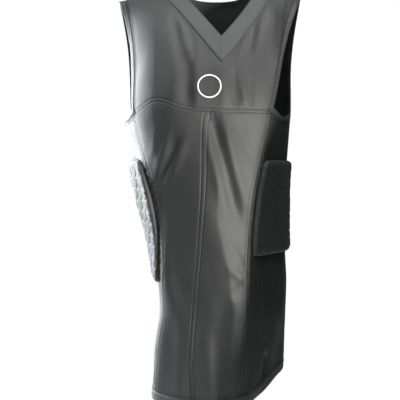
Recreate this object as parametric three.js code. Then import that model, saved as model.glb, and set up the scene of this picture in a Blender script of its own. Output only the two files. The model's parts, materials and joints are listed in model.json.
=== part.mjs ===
// A padded compression vest: a sleeveless V-neck top in stretch knit, with a pad of hexagonal
// foam cells sewn over the ribs on each side. It hangs from its shoulders, slightly twisted.
//
// Millimetres, +Z up. The front faces -Y, so the wearer's right side is at -X and the left at +X.
// The origin is midway between the shoulder tips, level with the high points of the shoulders,
// and the whole vest hangs below it. Every piece of cloth lies on one body form, lofted through
// a stack of ovals, and a place on the form is given as an angle round it and a height.

import * as THREE from "three";

// ---------------------------------------------------------------- driving dimensions

const cloth = 1; // thickness of the stretch knit
const gap = 0.3; // clearance between pieces that lie one on another
const joint = 1.4; // the edges of two panels stand this far apart, under their seam

const bodyLength = 737; // shoulder high point to hem
const armholeDepth = 252; // shoulder high point to the underarm
const yokeDepth = 237; // shoulder high point to the seam across the chest
const yokeArch = 19; // the chest seam's rise on the wearer's right
const waistDrop = 574; // shoulder high point to the waist

const chestWidth = 300; // across the body at the underarm
const chestDepth = 172; // front to back there
const waistWidth = 228;
const waistDepth = 158;
const hemWidth = 234;
const hemDepth = 176;

const shoulderHalf = 166; // centre to the shoulder tip
const shoulderSlope = 0.3; // fall of the shoulder seam for each millimetre outwards
const neckHalf = 80; // half the neck opening, at the shoulder seams
const neckShift = 12; // the neck opening hangs this far to the wearer's left
const neckLean = 7; // and the point of the V this much further
const neckDropFront = 108; // shoulder high point to the point of the V
const neckDropBack = 22;
const neckbandWidth = 28;
const bindingWidth = 9; // turned edge round the armholes
const armholeBow = 1.1; // 1 is an even sweep of the armhole's edges, and less bows them in
const hemBandHeight = 16;
const hemRise = 40; // the gathers draw the hem up this far at the wearer's left side

const padDrop = 68; // underarm to the top of the pads
const padWidth = 128;
const padHeightRight = 214; // lies flat, as cut
const padHeightLeft = 163; // drawn up by the gathers below it
const padInset = 8; // side seam to the edge of the pad
const underarmPanel = 92; // the side panels narrow to this width at the underarm
const padCorner = 12;
const padBorder = 4; // the cover climbs from the panel to the cells within this
const padRows = 10;
const padColumns = 5;
const foamThickness = 7;
const foamWeb = 1.2; // thickness left at the bottom of the grooves
const cellTop = 0.86; // size of the top of a cell, against its foot

const seamWidth = 6; // a flatlock seam, over the joint of two panels
const stitchWidth = 4; // the rows of stitching beside a band or a pad
const seamThickness = 0.7;

const emblemRadius = 20; // a plain ring printed on the chest
const emblemLine = 2.4;
const emblemDrop = 197; // shoulder high point to its middle
const emblemX = -4;

const labelWidth = 30;
const labelHeight = 46;
const labelThickness = 0.6;
const labelRise = 42; // hem to the foot of the care label
const labelAngle = 20; // it stands off the panel by this many degrees

// ---------------------------------------------------------------- the body form

const ovalPower = 2.2; // 2 is an ellipse, and more is squarer
const ridgeBack = 6; // the shoulder seams lie this far behind the middle
const roofHeight = 230; // the form narrows to the shoulder seams over this height
const roofPower = 1.7;

const { lerp, clamp, degToRad, radToDeg } = THREE.MathUtils;

// One oval: its height, width, depth and centre, and the angles of the centre front seam and of
// the right and left side seams. A point at angle 0 faces forward, and at 90 to the left.
const oval = (z, width, depth, x, centre, right, left) => ({
  z, halfWidth: width / 2, halfDepth: depth / 2, x, centre, right, left,
});
const underarmToWaist = (share) => -lerp(armholeDepth, waistDrop, share);
const waistToHem = (share) => -lerp(waistDrop, bodyLength, share);
const ovals = [
  oval(waistToHem(1), hemWidth, hemDepth, 14, -21, -63, 21),
  oval(waistToHem(0.5), lerp(waistWidth, hemWidth, 0.4), lerp(waistDepth, hemDepth, 0.4), 17, -24, -62, 18),
  oval(waistToHem(0), waistWidth, waistDepth, 24, -25, -60, 13),
  oval(underarmToWaist(0.7), waistWidth + 13, waistDepth, 15, -15, -50, 18),
  oval(underarmToWaist(0.4), lerp(waistWidth, chestWidth, 0.5), waistDepth + 6, 3, -6, -44, 26),
  oval(underarmToWaist(0), chestWidth, chestDepth, -6, -1, -60, 41),
  oval(-armholeDepth / 2, chestWidth + 4, chestDepth - 8, -3, 4, -62, 50),
  oval(20, 2 * shoulderHalf + 20, chestDepth - 20, 0, 4, -62, 50),
];

// One field of the form at a height, by a cubic through the ovals.
function formAt(field, z) {
  const last = ovals.length - 1;
  const rise = (i) => (ovals[i + 1][field] - ovals[i][field]) / (ovals[i + 1].z - ovals[i].z);
  const slope = (i) => (rise(Math.max(i - 1, 0)) + rise(Math.min(i, last - 1))) / 2;
  const i = clamp(ovals.findIndex((o) => z <= o.z), 1, last) - 1;
  const step = ovals[i + 1].z - ovals[i].z;
  const t = clamp((z - ovals[i].z) / step, 0, 1);
  const start = (2 * t ** 3 - 3 * t ** 2 + 1) * ovals[i][field] + (t ** 3 - 2 * t ** 2 + t) * step * slope(i);
  return start + (3 * t ** 2 - 2 * t ** 3) * ovals[i + 1][field] + (t ** 3 - t ** 2) * step * slope(i + 1);
}

// Height of the shoulder seam at a distance x from the form's centre.
const shoulderLine = (x) => -Math.max(0, Math.abs(x - neckShift) - neckHalf) * shoulderSlope;
const signedPower = (value, power) => Math.sign(value) * Math.abs(value) ** power;

// The point of the form at an angle and a height.
function formPoint(angle, z) {
  const x = formAt("halfWidth", z) * signedPower(Math.sin(degToRad(angle)), 2 / ovalPower);
  const y = -formAt("halfDepth", z) * signedPower(Math.cos(degToRad(angle)), 2 / ovalPower);
  const t = clamp((shoulderLine(x) - z) / roofHeight, 0, 1);
  const roof = (1 - (1 - t) ** roofPower) ** (1 / roofPower);
  return new THREE.Vector3(formAt("x", z) + x, lerp(ridgeBack, y, roof), z);
}

// The outward normal there. On a shoulder seam it points straight up from the seam.
function formNormal(angle, z) {
  const ridge = shoulderLine(formPoint(angle, z).x - formAt("x", z));
  const top = Math.min(z, ridge - 1.5);
  const across = formPoint(angle + 0.5, top).sub(formPoint(angle - 0.5, top));
  const up = formPoint(angle, top + 1).sub(formPoint(angle, top - 1));
  const normal = across.cross(up);
  if (z > ridge - 0.5) normal.y = 0;
  return normal.normalize();
}
const offForm = (angle, z, off) => formPoint(angle, z).addScaledVector(formNormal(angle, z), off);

// The angle of the form's point at a distance x from its centre, on the front or on the back.
function angleAt(x, z, back = false) {
  const share = clamp(Math.abs(x) / formAt("halfWidth", z), 0, 1);
  const front = radToDeg(Math.asin(share ** (ovalPower / 2)));
  return (x < 0 ? -1 : 1) * (back ? 180 - front : front);
}

// The angle reached by going a length round the form from another angle.
function angleAlong(angle, z, length) {
  const steps = 8;
  let reached = angle;
  for (let i = 0; i < steps; i++) {
    const degree = formPoint(reached + 0.5, z).distanceTo(formPoint(reached - 0.5, z));
    reached += length / steps / degree;
  }
  return reached;
}

// ---------------------------------------------------------------- shared makers

const vest = new THREE.Group();
const finish = (color, roughness) => new THREE.MeshStandardMaterial({ color, roughness, metalness: 0 });
const knit = finish(0x4b4f51, 0.62);
const bandKnit = finish(0x565c5e, 0.6);
const foam = finish(0x2c2e30, 0.85);
const thread = finish(0x383633, 0.7);
const print = finish(0xeceee9, 0.45);
const satin = finish(0xe6e6e2, 0.4);

function piece(name, geometry, material) {
  const mesh = new THREE.Mesh(geometry, material);
  mesh.name = name;
  vest.add(mesh);
}

// A sheet of cloth: a flat box bent over the form. at(u, v) gives the angle and height of a point
// of the sheet, with the angle growing with u and the height with v. lift(u, v) is the distance
// of its inner face from the form, and trim is what it is cut back by along each edge.
function sheet(at, across, along, lift, thickness, trim = joint / 2) {
  const box = new THREE.BoxGeometry(1, 1, 1, across, along, 1);
  const corners = box.getAttribute("position");
  for (let i = 0; i < corners.count; i++) {
    const [u, v] = [corners.getX(i) + 0.5, corners.getY(i) + 0.5];
    const low = typeof lift === "function" ? lift(u, v) : lift;
    const [angle, z] = at(u, v);
    const point = offForm(angle, z, low + (corners.getZ(i) > 0 ? thickness : 0));
    const inwardU = offForm(...at(u < 0.5 ? u + 0.01 : u - 0.01, v), low).sub(offForm(angle, z, low));
    const inwardV = offForm(...at(u, v < 0.5 ? v + 0.01 : v - 0.01), low).sub(offForm(angle, z, low));
    if (u === 0 || u === 1) point.add(inwardU.setLength(trim));
    if (v === 0 || v === 1) point.add(inwardV.setLength(trim));
    corners.setXYZ(i, point.x, point.y, point.z);
  }
  return box;
}

// A closed band: at(k, w) gives the angle and height at k, 0 to 1 round it, and w, 0 to 1 across.
// It is trimmed on the side w = 0, where it meets the panels.
function ring(at, steps, lift, thickness, trim = joint / 2) {
  const corners = [];
  for (let i = 0; i < steps; i++) {
    const inner = at(i / steps, 0);
    const outer = at(i / steps, 1);
    const cut = offForm(...outer, lift).sub(offForm(...inner, lift)).setLength(trim);
    corners.push(
      offForm(...inner, lift).add(cut),
      offForm(...outer, lift),
      offForm(...outer, lift + thickness),
      offForm(...inner, lift + thickness).add(cut),
    );
  }
  const faces = [];
  for (let i = 0; i < steps; i++)
    for (let c = 0; c < 4; c++) {
      const here = [4 * i + c, 4 * i + ((c + 1) % 4)];
      const next = here.map((corner) => (corner + 4) % (4 * steps));
      faces.push(here[0], here[1], next[1], here[0], next[1], next[0]);
    }
  return facingOut(corners, faces);
}

// Corners and faces to a geometry, with the faces turned if they face in.
function facingOut(corners, faces) {
  let volume = 0;
  for (let i = 0; i < faces.length; i += 3)
    volume += corners[faces[i]].clone().cross(corners[faces[i + 1]]).dot(corners[faces[i + 2]]);
  const made = new THREE.BufferGeometry().setFromPoints(corners);
  return made.setIndex(volume > 0 ? faces : faces.reverse());
}

// ---------------------------------------------------------------- where the seams run

// The hem at an angle, drawn up most at the wearer's left, and the upper edge of its band.
function hemHeight(angle) {
  const fromLeft = Math.abs(angle - 90 - 360 * Math.round((angle - 90) / 360));
  return -bodyLength + hemRise * Math.exp(-((fromLeft / 65) ** 2));
}
const hemTop = (angle) => hemHeight(angle) + hemBandHeight;

// The height at which a line running down the form, at(z) its angle, meets the hem band.
function hemMeets(at) {
  let z = -bodyLength;
  for (let i = 0; i < 4; i++) z = hemTop(at(z));
  return z;
}
const yokeHeight = (angle) => -yokeDepth + yokeArch * Math.exp(-(((angle + 33) / 16) ** 2));

// The front and back seams of the side panels. side is -1 on the wearer's right, 1 on the left.
const padTop = -armholeDepth - padDrop;
const sidePanelWidth = padWidth + 2 * padInset + 2 * seamWidth;
function sidePanel(z) {
  const share = THREE.MathUtils.smoothstep(z, padTop + 4, -yokeDepth);
  return lerp(sidePanelWidth, underarmPanel, share);
}
const frontSeam = (side, z) => formAt(side < 0 ? "right" : "left", z);
const backSeam = (side, z) => angleAlong(frontSeam(side, z), z, side * sidePanel(z));
const armCorner = (side, back) => (back ? backSeam : frontSeam)(side, -yokeDepth);

// A side of the armhole, from the shoulder tip (k 0) to the chest seam (k 1). w runs from 0, the
// edge of the panel, to 1, the edge of the opening.
function armholeSide(side, back, k, w) {
  const tip = side * (shoulderHalf - bindingWidth * (1 - w));
  const corner = armCorner(side, back);
  const foot = angleAlong(corner, -yokeDepth, (back ? -side : side) * bindingWidth * w);
  const tipHeight = shoulderLine(tip);
  const angle = lerp(angleAt(tip, tipHeight, back), foot, k ** armholeBow);
  return [angle, lerp(tipHeight, yokeHeight(corner) + bindingWidth * w, k)];
}

// The bottom of the armhole, from its front corner (k 0) to its back one (k 1).
function armholeBottom(side, k, w) {
  const front = armholeSide(side, false, 1, w);
  const back = armholeSide(side, true, 1, w);
  const dip = (armholeDepth - yokeDepth) * Math.sin(Math.PI * k) ** 0.8;
  return [lerp(front[0], back[0], k), lerp(front[1], back[1], k) - dip];
}

// The neckline, from the centre (k 0) to the shoulder seam (k 1), on the front or on the back.
// w runs from 0, the edge of the panel, to 1, the edge of the opening.
function neckline(side, back, k, w) {
  const shoulderX = neckShift + side * lerp(neckHalf + neckbandWidth, neckHalf, w);
  const end = shoulderLine(shoulderX);
  if (back) {
    const x = lerp(neckShift, shoulderX, k);
    const z = lerp(-neckDropBack - neckbandWidth * (1 - w), end, k ** 2.6);
    return [angleAt(x, z, true), z];
  }
  const mitre = neckbandWidth * Math.hypot(neckHalf, neckDropFront) / neckHalf;
  const x = lerp(neckShift + neckLean, shoulderX, k);
  const z = lerp(-neckDropFront - mitre * (1 - w), end, k);
  return [angleAt(x, z), z];
}

// ---------------------------------------------------------------- yoke and back

// The upper edge of the front or back above the chest seam, m 0 at the centre, 1 at the armhole.
const neckShare = 0.6; // share of the columns that end at the neckline
function upperEdge(side, back, m) {
  if (m <= neckShare) return neckline(side, back, m / neckShare, 0);
  const along = (m - neckShare) / (1 - neckShare);
  const x = lerp(neckShift + side * (neckHalf + neckbandWidth), side * (shoulderHalf - bindingWidth), along);
  return [angleAt(x, shoulderLine(x), back), shoulderLine(x)];
}

// A point of the front or back between the chest seam (v 0) and the upper edge (v 1). s runs
// from -1 to 1 between its armholes, in the direction of growing angle.
function upperBody(back, s, v) {
  const side = (s < 0 ? -1 : 1) * (back ? -1 : 1);
  const full = (angle) => (back && angle < 0 ? angle + 360 : angle);
  const ends = [full(armCorner(back ? 1 : -1, back)), full(armCorner(back ? -1 : 1, back))];
  const foot = lerp(ends[0], ends[1], (s + 1) / 2);
  const [headAngle, headZ] = upperEdge(side, back, Math.abs(s));
  const rise = 1 - (1 - v) ** 1.5;
  const bow = lerp(rise, 1 - (1 - rise) ** armholeBow, s * s);
  return [lerp(foot, full(headAngle), bow), lerp(yokeHeight(foot), headZ, rise)];
}

const lowerRows = 16; // rows of every panel below the chest seam, so that their edges meet
const upperRows = 8;
piece("front_yoke", sheet((u, v) => upperBody(false, 2 * u - 1, v), 20, upperRows, 0, cloth), knit);

const backLower = lowerRows / (lowerRows + upperRows);
piece("back_panel", sheet((u, v) => {
  if (v > backLower) return upperBody(true, 2 * u - 1, (v - backLower) / (1 - backLower));
  const across = (z) => lerp(backSeam(1, z), backSeam(-1, z) + 360, u);
  const z = lerp(hemMeets(across), -yokeDepth, v / backLower);
  return [across(z), z];
}, 18, lowerRows + upperRows, 0, cloth), knit);

// ---------------------------------------------------------------- front and side panels

// A panel between two seams, from the hem band up to a top edge.
function lowerPanel(from, to, top) {
  return sheet((u, v) => {
    const across = (z) => lerp(from(z), to(z), u);
    const z = lerp(hemMeets(across), top(u), v);
    return [across(z), z];
  }, 9, lowerRows, 0, cloth);
}
const centreSeam = (z) => formAt("centre", z);
const rightFront = (z) => frontSeam(-1, z);
const leftFront = (z) => frontSeam(1, z);
const underYoke = (from, to) => (u) => yokeHeight(lerp(from(-yokeDepth), to(-yokeDepth), u));
piece("front_panel_right", lowerPanel(rightFront, centreSeam, underYoke(rightFront, centreSeam)), knit);
piece("front_panel_left", lowerPanel(centreSeam, leftFront, underYoke(centreSeam, leftFront)), knit);
piece("side_panel_right", lowerPanel(
  (z) => backSeam(-1, z), rightFront, (u) => armholeBottom(-1, 1 - u, 0)[1],
), knit);
piece("side_panel_left", lowerPanel(
  leftFront, (z) => backSeam(1, z), (u) => armholeBottom(1, u, 0)[1],
), knit);

// ---------------------------------------------------------------- bands at the openings

// The whole neckline, k 0 to 1 from the point of the V round the wearer's left and back to it.
// The steps are shorter near the shoulder seams, where the cloth bends most.
function neckRound(k, w) {
  const quarter = Math.floor(k * 4);
  const share = k * 4 - quarter;
  const side = quarter < 2 ? 1 : -1;
  const back = quarter === 1 || quarter === 2;
  const toShoulder = quarter % 2 === 0 ? share : 1 - share;
  return neckline(side, back, Math.sin(toShoulder * Math.PI / 2), w);
}
piece("neckband", ring(neckRound, 40, 0, 2 * cloth), bandKnit);

// The whole armhole, from the shoulder tip down its front and up its back.
function armholeRound(side, k, w) {
  const third = Math.floor(k * 3);
  const share = k * 3 - third;
  if (third === 1) return armholeBottom(side, share, w);
  const fromTip = third === 0 ? share : 1 - share;
  return armholeSide(side, third === 2, 1 - Math.cos(fromTip * Math.PI / 2), w);
}
const sides = [["right", -1, padHeightRight], ["left", 1, padHeightLeft]];
for (const [name, side] of sides)
  piece(`armhole_binding_${name}`, ring((k, w) => armholeRound(side, k, w), 30, 0, 2 * cloth), bandKnit);

piece("hem_band", ring(
  (k, w) => [360 * k, hemTop(360 * k) - hemBandHeight * w], 40, 0, 2 * cloth, 0,
), bandKnit);

// ---------------------------------------------------------------- rib pads

// The pads lie on the side panels. Across a pad, s is measured round the body from its front
// edge, and t down from its top.
const padLift = cloth + 0.9;
const cellsWidth = padWidth - 2 * padBorder;
function padPlace(side, s, t) {
  const z = padTop - t;
  return [angleAlong(frontSeam(side, z), z, side * (padInset + seamWidth / 2 + s)), z];
}

// A sheet of hexagonal cells in one piece, joined by the web at the bottom of the grooves.
function foamCells(side, padHeight) {
  const width = cellsWidth / (padColumns + 0.5);
  const pitch = (padHeight - 2 * padBorder) / (padRows + 1 / 3);
  const corners = [];
  const faces = [];
  const shared = new Map();
  const corner = (s, t, off) => {
    const key = `${s.toFixed(2)} ${t.toFixed(2)} ${off.toFixed(2)}`;
    if (!shared.has(key)) {
      shared.set(key, corners.length);
      corners.push(offForm(...padPlace(side, padBorder + s, padBorder + t), padLift + off));
    }
    return shared.get(key);
  };
  const edges = new Map();
  for (let row = 0; row < padRows; row++)
    for (let column = 0; column < padColumns; column++) {
      const s = width * (column + 0.5 + (row % 2) / 2);
      const t = pitch * (row + 2 / 3);
      const round = (size, off) => [0, 1, 2, 3, 4, 5].map((i) => {
        const up = [-2 / 3, -1 / 3, 1 / 3, 2 / 3, 1 / 3, -1 / 3][i];
        const out = [0, 0.5, 0.5, 0, -0.5, -0.5][i];
        return corner(s + size * width * out, t + size * pitch * up, off);
      });
      const base = round(1, 0);
      const groove = round(1, foamWeb);
      const top = round(cellTop, foamThickness);
      const below = corner(s, t, 0);
      const above = corner(s, t, foamThickness);
      for (let i = 0; i < 6; i++) {
        const j = (i + 1) % 6;
        faces.push(below, base[j], base[i], above, top[i], top[j]);
        faces.push(groove[i], groove[j], top[j], groove[i], top[j], top[i]);
        edges.set(`${base[i]} ${base[j]}`, [base[i], base[j], groove[j], groove[i]]);
      }
    }
  for (const [a, b, c, d] of edges.values())
    if (!edges.has(`${b} ${a}`)) faces.push(a, b, c, a, c, d);
  return facingOut(corners, faces);
}

// The outline of a pad at a distance down it: how far the round corners draw its edge in.
function cornerInset(padHeight, t) {
  const rest = padCorner - Math.min(t, padHeight - t, padCorner);
  return padCorner - Math.sqrt(Math.max(0, padCorner ** 2 - rest ** 2));
}

// The cover is a sheet drawn over the cells, with its edge down on the side panel.
function padCover(side, padHeight) {
  const columns = 12;
  const rows = 18;
  const spaced = (share, count, length) => {
    const i = Math.round(share * count);
    if (i === 0 || i === count) return share;
    return lerp(padBorder, length - padBorder, (i - 1) / (count - 2)) / length;
  };
  const at = (u, v) => {
    const down = padHeight * (1 - (Math.abs(v * rows - Math.round(v * rows)) < 1e-6 ? spaced(v, rows, padHeight) : v));
    const across = Math.abs(u * columns - Math.round(u * columns)) < 1e-6 ? spaced(u, columns, padWidth) : u;
    const inset = cornerInset(padHeight, down);
    return padPlace(side, inset + (padWidth - 2 * inset) * (side > 0 ? across : 1 - across), down);
  };
  const lift = (u, v) => (u === 0 || u === 1 || v === 0 || v === 1 ? cloth + 2 * gap : padLift + foamThickness + 1);
  return sheet(at, columns, rows, lift, cloth, 0);
}
for (const [name, side, padHeight] of sides) {
  piece(`rib_pad_foam_${name}`, foamCells(side, padHeight), foam);
  piece(`rib_pad_cover_${name}`, padCover(side, padHeight), knit);
}

// ---------------------------------------------------------------- seams

// A flatlock seam over the joint of two panels. line(k) gives the angle and height at k, 0 to 1
// along it, and isLevel says that it runs round the body.
const seamLift = cloth + 1;
function seam(line, steps, isLevel) {
  return sheet((u, v) => {
    const [angle, z] = line(isLevel ? u : v);
    if (isLevel) return [angle, z + (v - 0.5) * seamWidth];
    return [angleAlong(angle, z, (u - 0.5) * seamWidth), z];
  }, isLevel ? steps : 1, isLevel ? 1 : steps, seamLift, seamThickness, 0);
}

// Stitching beside a band: a narrow closed ring on the panels, just clear of the band.
const stitchClear = 1;
const stitchReach = stitchWidth + stitchClear;
function stitching(at, steps, bandWidth) {
  const beside = (k, w) => at(k, -lerp(stitchReach, stitchClear, w) / bandWidth);
  return ring(beside, steps, seamLift, seamThickness, 0);
}

piece("chest_seam", seam((k) => {
  const right = angleAlong(rightFront(-yokeDepth), -yokeDepth, stitchReach + 2);
  const left = angleAlong(leftFront(-yokeDepth), -yokeDepth, -stitchReach - 2);
  const angle = lerp(right, left, k);
  return [angle, yokeHeight(angle)];
}, 22, true), thread);

const upright = (angleOf, top) => (k) => {
  const z = lerp(hemMeets(angleOf) + stitchReach + 1, top, k);
  return [angleOf(z), z];
};
const underChestSeam = -yokeDepth - seamWidth / 2 - 1;
piece("centre_front_seam", seam(upright(centreSeam, underChestSeam), 16, false), thread);
for (const [name, side] of sides) {
  const top = underChestSeam - stitchReach;
  piece(`front_side_seam_${name}`, seam(upright((z) => frontSeam(side, z), top), 20, false), thread);
  piece(`back_side_seam_${name}`, seam(upright((z) => backSeam(side, z), top - stitchReach), 36, false), thread);
  piece(`armhole_stitching_${name}`, stitching((k, w) => armholeRound(side, k, w), 24, bindingWidth), thread);
}
piece("neckband_stitching", stitching(neckRound, 32, neckbandWidth), thread);
piece("hem_stitching", stitching(
  (k, w) => [360 * k, hemTop(360 * k) - hemBandHeight * w], 36, hemBandHeight,
), thread);

// The mitre where the two ends of the neckband meet at the point of the V.
piece("neckband_mitre", sheet((u, v) => {
  const [angle, z] = neckline(1, false, 0, lerp(0.1, 0.9, v));
  return [angleAlong(angle, z, (u - 0.5) * seamWidth / 3), z];
}, 1, 3, 2 * cloth + gap, seamThickness, 0), thread);

// A shoulder seam runs along the top, from the neckband out to the armhole binding.
for (const [name, side] of sides) {
  const tape = new THREE.BoxGeometry(1, seamWidth, seamThickness, 4, 1, 1);
  const corners = tape.getAttribute("position");
  const inner = neckShift + side * (neckHalf + neckbandWidth + stitchReach + 1.5);
  const outer = side * (shoulderHalf - bindingWidth - stitchReach - 1);
  for (let i = 0; i < corners.count; i++) {
    const x = lerp(Math.min(inner, outer), Math.max(inner, outer), corners.getX(i) + 0.5);
    const y = ridgeBack + corners.getY(i);
    corners.setXYZ(i, formAt("x", 0) + x, y, shoulderLine(x) + seamLift + corners.getZ(i) + seamThickness);
  }
  piece(`shoulder_seam_${name}`, tape, thread);
}

// The stitching round a pad, just outside the edge of its cover.
function padOutline(padHeight, out, steps) {
  const radius = padCorner + out;
  const x = padWidth / 2 + out - radius;
  const y = padHeight / 2 + out - radius;
  const path = new THREE.Path();
  [[x, y], [-x, y], [-x, -y], [x, -y]].forEach(([cornerX, cornerY], quarter) => {
    path.absarc(cornerX, cornerY, radius, quarter * Math.PI / 2, (quarter + 1) * Math.PI / 2);
  });
  path.closePath();
  return path.getSpacedPoints(steps);
}
const padClear = 2.8;
for (const [name, side, padHeight] of sides) {
  const steps = 48;
  const outer = padOutline(padHeight, padClear + 3, steps);
  const inner = padOutline(padHeight, padClear, steps);
  piece(`pad_stitching_${name}`, ring((k, w) => {
    const i = Math.round(k * steps);
    const place = outer[i].clone().lerp(inner[i], w);
    return padPlace(side, padWidth / 2 + place.x, padHeight / 2 + place.y);
  }, steps, seamLift, seamThickness, 0), thread);
}

// ---------------------------------------------------------------- emblem and care label

// A plain ring printed on the chest.
piece("chest_emblem", ring((k, w) => {
  const radius = emblemRadius - emblemLine * w;
  const z = -emblemDrop + radius * Math.sin(2 * Math.PI * k);
  return [angleAt(emblemX - formAt("x", z) + radius * Math.cos(2 * Math.PI * k), z), z];
}, 32, cloth + 0.5, 0.4, 0), print);

// The care label is sewn into the wearer's left back seam, inside, and swings on its stitches.
const labelFoot = hemMeets((z) => backSeam(1, z)) - hemBandHeight + labelRise;
const onSeam = (z) => offForm(backSeam(1, z), z, -1.2);
const labelLow = onSeam(labelFoot);
const labelEdge = onSeam(labelFoot + labelHeight).sub(labelLow).setLength(labelHeight);
const inwards = formNormal(backSeam(1, labelFoot), labelFoot).negate();
const alongWall = inwards.clone().cross(labelEdge).normalize();
const labelAcross = alongWall.multiplyScalar(Math.cos(degToRad(labelAngle)))
  .addScaledVector(inwards, Math.sin(degToRad(labelAngle)));
const labelFace = labelAcross.clone().cross(labelEdge).normalize();
const label = new THREE.BoxGeometry(labelWidth, labelHeight, labelThickness);
label.translate(labelWidth / 2, labelHeight / 2, 0);
label.applyMatrix4(new THREE.Matrix4().makeBasis(
  labelAcross.normalize(), labelEdge.clone().normalize(), labelFace,
).setPosition(labelLow));
piece("care_label", label, satin);

export default vest;
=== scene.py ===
import math

import bpy
import numpy as np
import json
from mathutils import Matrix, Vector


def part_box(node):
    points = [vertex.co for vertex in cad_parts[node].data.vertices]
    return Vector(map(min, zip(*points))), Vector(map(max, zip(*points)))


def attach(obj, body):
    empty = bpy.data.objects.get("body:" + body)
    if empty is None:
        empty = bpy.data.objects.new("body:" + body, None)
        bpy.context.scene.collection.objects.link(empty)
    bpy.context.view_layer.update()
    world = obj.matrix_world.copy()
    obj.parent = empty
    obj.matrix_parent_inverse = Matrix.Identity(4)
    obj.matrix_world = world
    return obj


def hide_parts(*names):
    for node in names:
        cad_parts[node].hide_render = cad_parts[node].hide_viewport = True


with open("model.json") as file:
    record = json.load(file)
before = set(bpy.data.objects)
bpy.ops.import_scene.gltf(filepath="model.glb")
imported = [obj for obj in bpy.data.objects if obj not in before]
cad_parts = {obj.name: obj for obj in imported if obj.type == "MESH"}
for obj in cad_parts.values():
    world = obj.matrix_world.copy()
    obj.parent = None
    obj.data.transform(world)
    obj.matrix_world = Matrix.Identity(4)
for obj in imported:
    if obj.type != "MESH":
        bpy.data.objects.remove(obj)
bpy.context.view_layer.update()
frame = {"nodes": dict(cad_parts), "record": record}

# ================================================================ front yoke
# One cut of charcoal knit across the chest and over both shoulders, with the V cut out of it.
# It is sewn to the two front panels along the chest seam, and to the back at the shoulders.

# It hangs open, as if round a body that leans and twists a little: a stack of ovals from the hem
# to the shoulders. The yoke is the first cut laid on it, and the others share it and its folds.
NECK_X = 0.012  # the neck hangs this far to the wearer's left of the middle
NECK_HALF = 0.080
V_DEPTH = 0.108
BACK_NECK_DROP = 0.022
SHOULDER_HALF = 0.166
SHOULDER_FALL = 0.3
ARMHOLE_BOW = 1.1
ROUNDNESS = 2.2  # 2 is an oval, and more is squarer at the corners
ROOF_DEPTH = 0.230  # below the shoulders, over which front and back close to one ridge
ROOF_Y = 0.006
LENGTH = -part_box("hem_band")[0][2]
UNDERARM = 0.252
CHEST_SEAM = 0.237
WAIST = 0.574
LAYER = 0.001  # one thickness of the knit

# height, half width, half depth, middle, then the centre, right and left front seams in degrees
to_waist = UNDERARM - WAIST  # negative, down from the underarm
OVALS = np.array([
    (-LENGTH, 0.1170, 0.0880, 0.014, -21, -63, 21),
    (-(WAIST + LENGTH) / 2, 0.1152, 0.0826, 0.017, -24, -62, 18),
    (-WAIST, 0.1140, 0.0790, 0.024, -25, -60, 13),
    (-UNDERARM + 0.7 * to_waist, 0.1205, 0.0790, 0.015, -15, -50, 18),
    (-UNDERARM + 0.4 * to_waist, 0.1320, 0.0820, 0.003, -6, -44, 26),
    (-UNDERARM, 0.1500, 0.0860, -0.006, -1, -60, 41),
    (-UNDERARM / 2, 0.1520, 0.0820, -0.003, 4, -62, 50),
    (0.020, 0.1760, 0.0760, 0.000, 4, -62, 50),
])
HALF_WIDTH, HALF_DEPTH, MIDDLE, CENTRE, RIGHT, LEFT = 1, 2, 3, 4, 5, 6


def oval_at(column, z):
    heights, values = OVALS[:, 0], OVALS[:, column]
    rises = np.diff(values) / np.diff(heights)
    slopes = (np.append(rises[0], rises) + np.append(rises, rises[-1])) / 2
    i = np.clip(np.searchsorted(heights, z) - 1, 0, len(heights) - 2)
    step = heights[i + 1] - heights[i]
    t = np.clip((z - heights[i]) / step, 0, 1)
    start = (2 * t**3 - 3 * t**2 + 1) * values[i] + (t**3 - 2 * t**2 + t) * step * slopes[i]
    return start + (3 * t**2 - 2 * t**3) * values[i + 1] + (t**3 - t**2) * step * slopes[i + 1]


def shoulder_line(x):
    return -np.maximum(0, np.abs(x - NECK_X) - NECK_HALF) * SHOULDER_FALL


def body_point(angle, z):
    a = np.radians(angle)
    x = oval_at(HALF_WIDTH, z) * np.sign(np.sin(a)) * np.abs(np.sin(a)) ** (2 / ROUNDNESS)
    y = -oval_at(HALF_DEPTH, z) * np.sign(np.cos(a)) * np.abs(np.cos(a)) ** (2 / ROUNDNESS)
    t = np.clip((shoulder_line(x) - z) / ROOF_DEPTH, 0, 1)
    roof = (1 - (1 - t) ** 1.7) ** (1 / 1.7)
    return np.stack([oval_at(MIDDLE, z) + x, ROOF_Y + (y - ROOF_Y) * roof, z + 0 * x], -1)


def body_normal(angle, z):
    ridge = shoulder_line(body_point(angle, z)[..., 0] - oval_at(MIDDLE, z))
    top = np.minimum(z, ridge - 0.0015)
    across = body_point(angle + 0.5, top) - body_point(angle - 0.5, top)
    up = body_point(angle, top + 0.001) - body_point(angle, top - 0.001)
    normal = np.cross(across, up)
    normal[..., 1] = np.where(z > ridge - 0.0005, 0, normal[..., 1])
    return normal / np.linalg.norm(normal, axis=-1, keepdims=True)


def angle_at(x, z, back=False):
    share = np.clip(np.abs(x) / oval_at(HALF_WIDTH, z), 0, 1)
    front = np.degrees(np.arcsin(share ** (ROUNDNESS / 2)))
    return np.where(x < 0, -1, 1) * (180 - front if back else front)


def angle_along(angle, z, length):
    reached = angle + 0 * z + 0 * length
    for _ in range(8):
        step = body_point(reached + 0.5, z) - body_point(reached - 0.5, z)
        reached = reached + length / 8 / np.linalg.norm(step, axis=-1)
    return reached


def smooth(low, high, value):
    t = np.clip((value - low) / (high - low), 0, 1)
    return t * t * (3 - 2 * t)


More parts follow.
